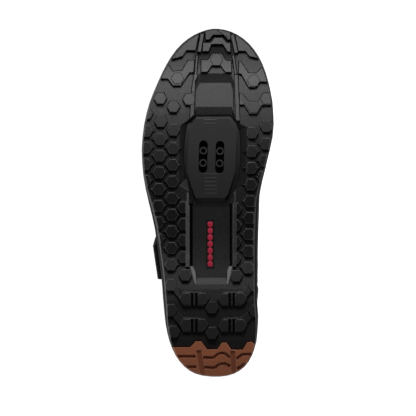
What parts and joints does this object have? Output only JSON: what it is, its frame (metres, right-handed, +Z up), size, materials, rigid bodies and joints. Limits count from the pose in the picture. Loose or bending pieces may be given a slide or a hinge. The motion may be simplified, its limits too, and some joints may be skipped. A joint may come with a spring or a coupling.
{
  "type": "cycling shoe",
  "caption": "Right cycling shoe for clipless pedals, lying on its inner side: lugged rubber sole, recessed cleat seat with slotted nut plate, hollow upper closed by straps.",
  "frame": {"origin": "middle of the bottom of the bounding box, on the floor that the shoe lies on", "axes": "+X from heel to toe, +Z up with the outer side of the shoe on top, +Y from the sole to the collar, so the sole faces -Y"},
  "size_m": [0.2944, 0.1206, 0.1096],
  "materials": {
    "tread_rubber": "fine grained matte",
    "gum_rubber": "matte gum",
    "sole_shell": "fine satin",
    "nut_steel": "dark, worn bright at the bosses",
    "insole_cloth": "knitted",
    "upper_leather": "matte synthetic",
    "tongue_cloth": "padded mesh",
    "cap_leather": "smooth, slightly glossy",
    "strap_webbing": "coated webbing"
  },
  "bodies": {
    "shoe": {"outsole": "tread_rubber", "heel_insert": "gum_rubber", "midsole": "sole_shell", "insole": "insole_cloth", "upper": "upper_leather", "tongue": "tongue_cloth", "toe_cap": "cap_leather", "heel_counter": "cap_leather", "instep_strap": "strap_webbing", "middle_strap": "strap_webbing", "front_strap": "strap_webbing"},
    "nut": {"cleat_nut": "nut_steel"}
  },
  "joints": [
    {"name": "cleat_slide", "type": "slide", "parent": "shoe", "child": "nut", "axis": [0.9981, 0.0352, 0.0505], "range_m": [-0.005, 0.005]}
  ]
}
